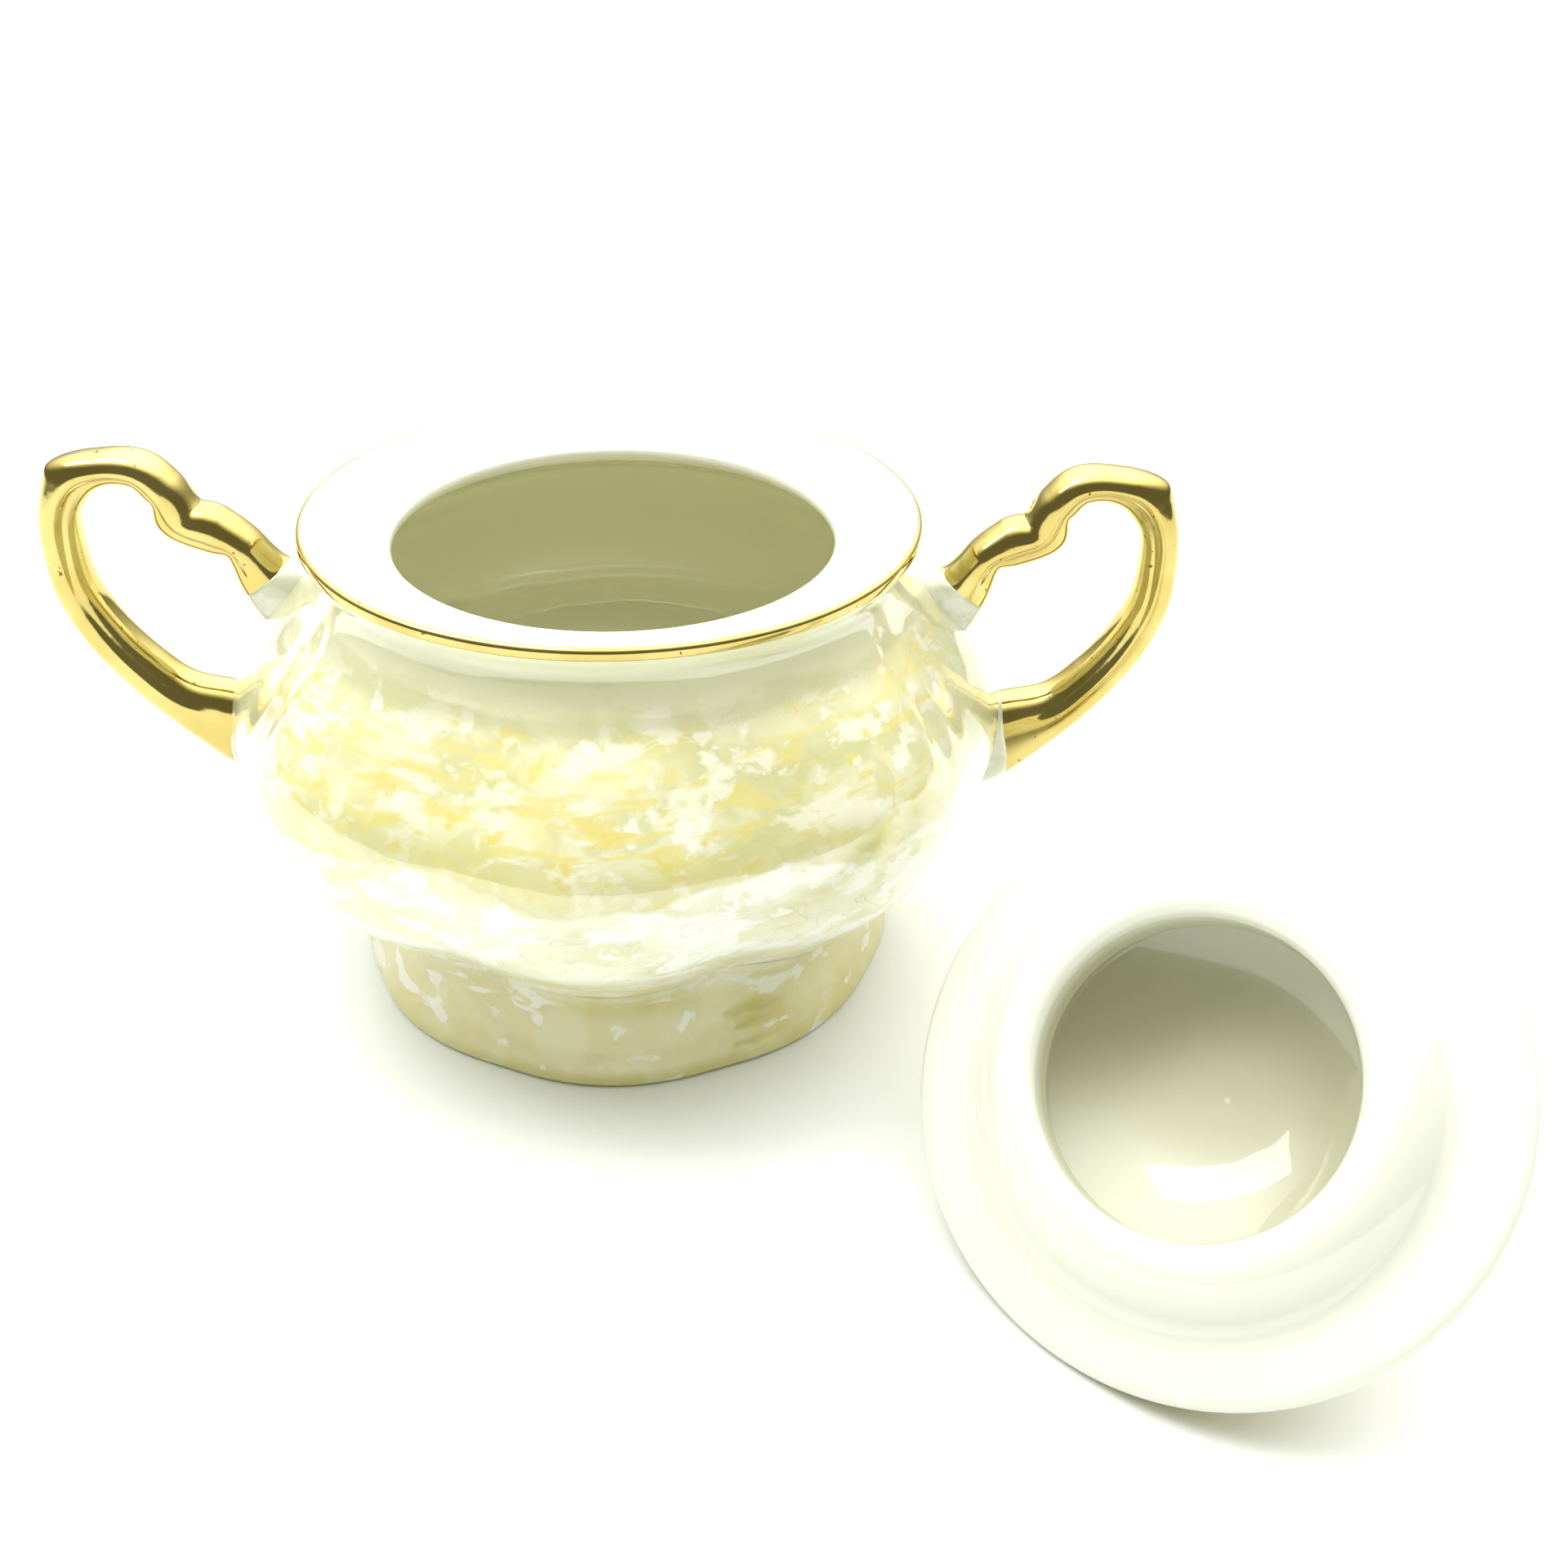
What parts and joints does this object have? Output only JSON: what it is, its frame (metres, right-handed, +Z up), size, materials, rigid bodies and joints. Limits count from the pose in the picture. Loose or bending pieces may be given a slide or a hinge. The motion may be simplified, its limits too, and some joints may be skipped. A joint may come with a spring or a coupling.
{
  "type": "sugar bowl",
  "caption": "Lustred porcelain sugar bowl with lobed sides, a spreading foot, ear-shaped gilt handles and a domed lid that lies upside down beside it",
  "frame": {"origin": "centre of the foot ring, on the table", "axes": "+X towards the right handle, +Y away from the viewer, +Z up"},
  "size_m": [0.1836, 0.1538, 0.0768],
  "materials": {
    "lustre_glaze": "glossy glaze with a mother-of-pearl lustre in cream and yellow ochre",
    "burnished_gold": "fired gold over porcelain, burnished bright",
    "white_glaze": "clear glossy glaze over ivory-white porcelain"
  },
  "bodies": {
    "bowl": {"bowl_body": "lustre_glaze", "left_handle": "burnished_gold", "right_handle": "burnished_gold"},
    "lid": {"lid_shell": "white_glaze", "lid_knob": "burnished_gold"}
  },
  "joints": [
    {"name": "lid_turn", "type": "hinge", "parent": "bowl", "child": "lid", "pos_m": [0.01738, -0.049, 0.03946], "axis": [-0.7337, -0.5647, -0.3779], "range_deg": [0, 184.87]}
  ]
}
